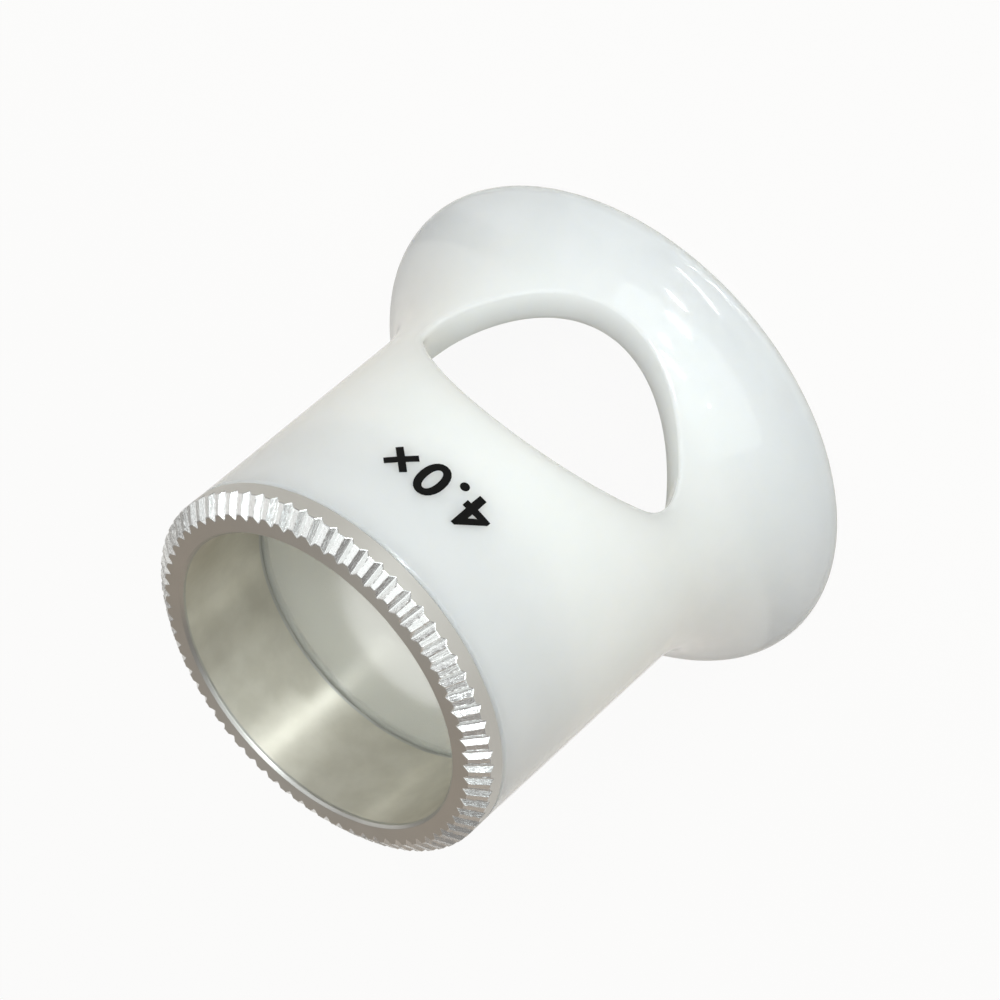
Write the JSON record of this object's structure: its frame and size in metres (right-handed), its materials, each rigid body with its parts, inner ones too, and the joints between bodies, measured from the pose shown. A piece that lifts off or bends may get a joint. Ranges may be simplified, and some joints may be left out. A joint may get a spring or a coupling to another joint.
{
  "type": "watchmaker eye loupe",
  "caption": "Ventilated watchmaker's eye loupe: a flared moulded eyecup with side windows, a lens on an inner ledge and a knurled metal ring that screws in over it.",
  "frame": {"origin": "centre of the eye rim's flat end, on the optical axis; the loupe stands on that rim", "axes": "+Z along the optical axis from the eye rim to the knurled ring; -Y and +Y through the middles of the two windows"},
  "size_m": [0.0406, 0.0406, 0.0334],
  "materials": {
    "white_plastic": "smooth moulded gloss",
    "lens_glass": "polished, uncoated",
    "bare_aluminium": "turned, bare, with a bright knurl",
    "black_ink": "printed mark, satin"
  },
  "bodies": {
    "eyecup": {"eyecup_body": "white_plastic"},
    "lens_unit": {"lens": "lens_glass"},
    "ring": {"screw_ring": "bare_aluminium"}
  },
  "joints": [
    {"name": "lens_slide", "type": "slide", "parent": "eyecup", "child": "lens_unit", "axis": [0, 0, 1], "range_m": [0, 0.00525]},
    {"name": "ring_turn", "type": "hinge", "parent": "lens_unit", "child": "ring", "pos_m": [0, 0, 0.0282], "axis": [0, 0, 1], "range_deg": [0, 2520]}
  ],
  "couplings": [
    {"joint": "lens_slide", "follows": "ring_turn", "m_per_rad": 0.00011937}
  ]
}
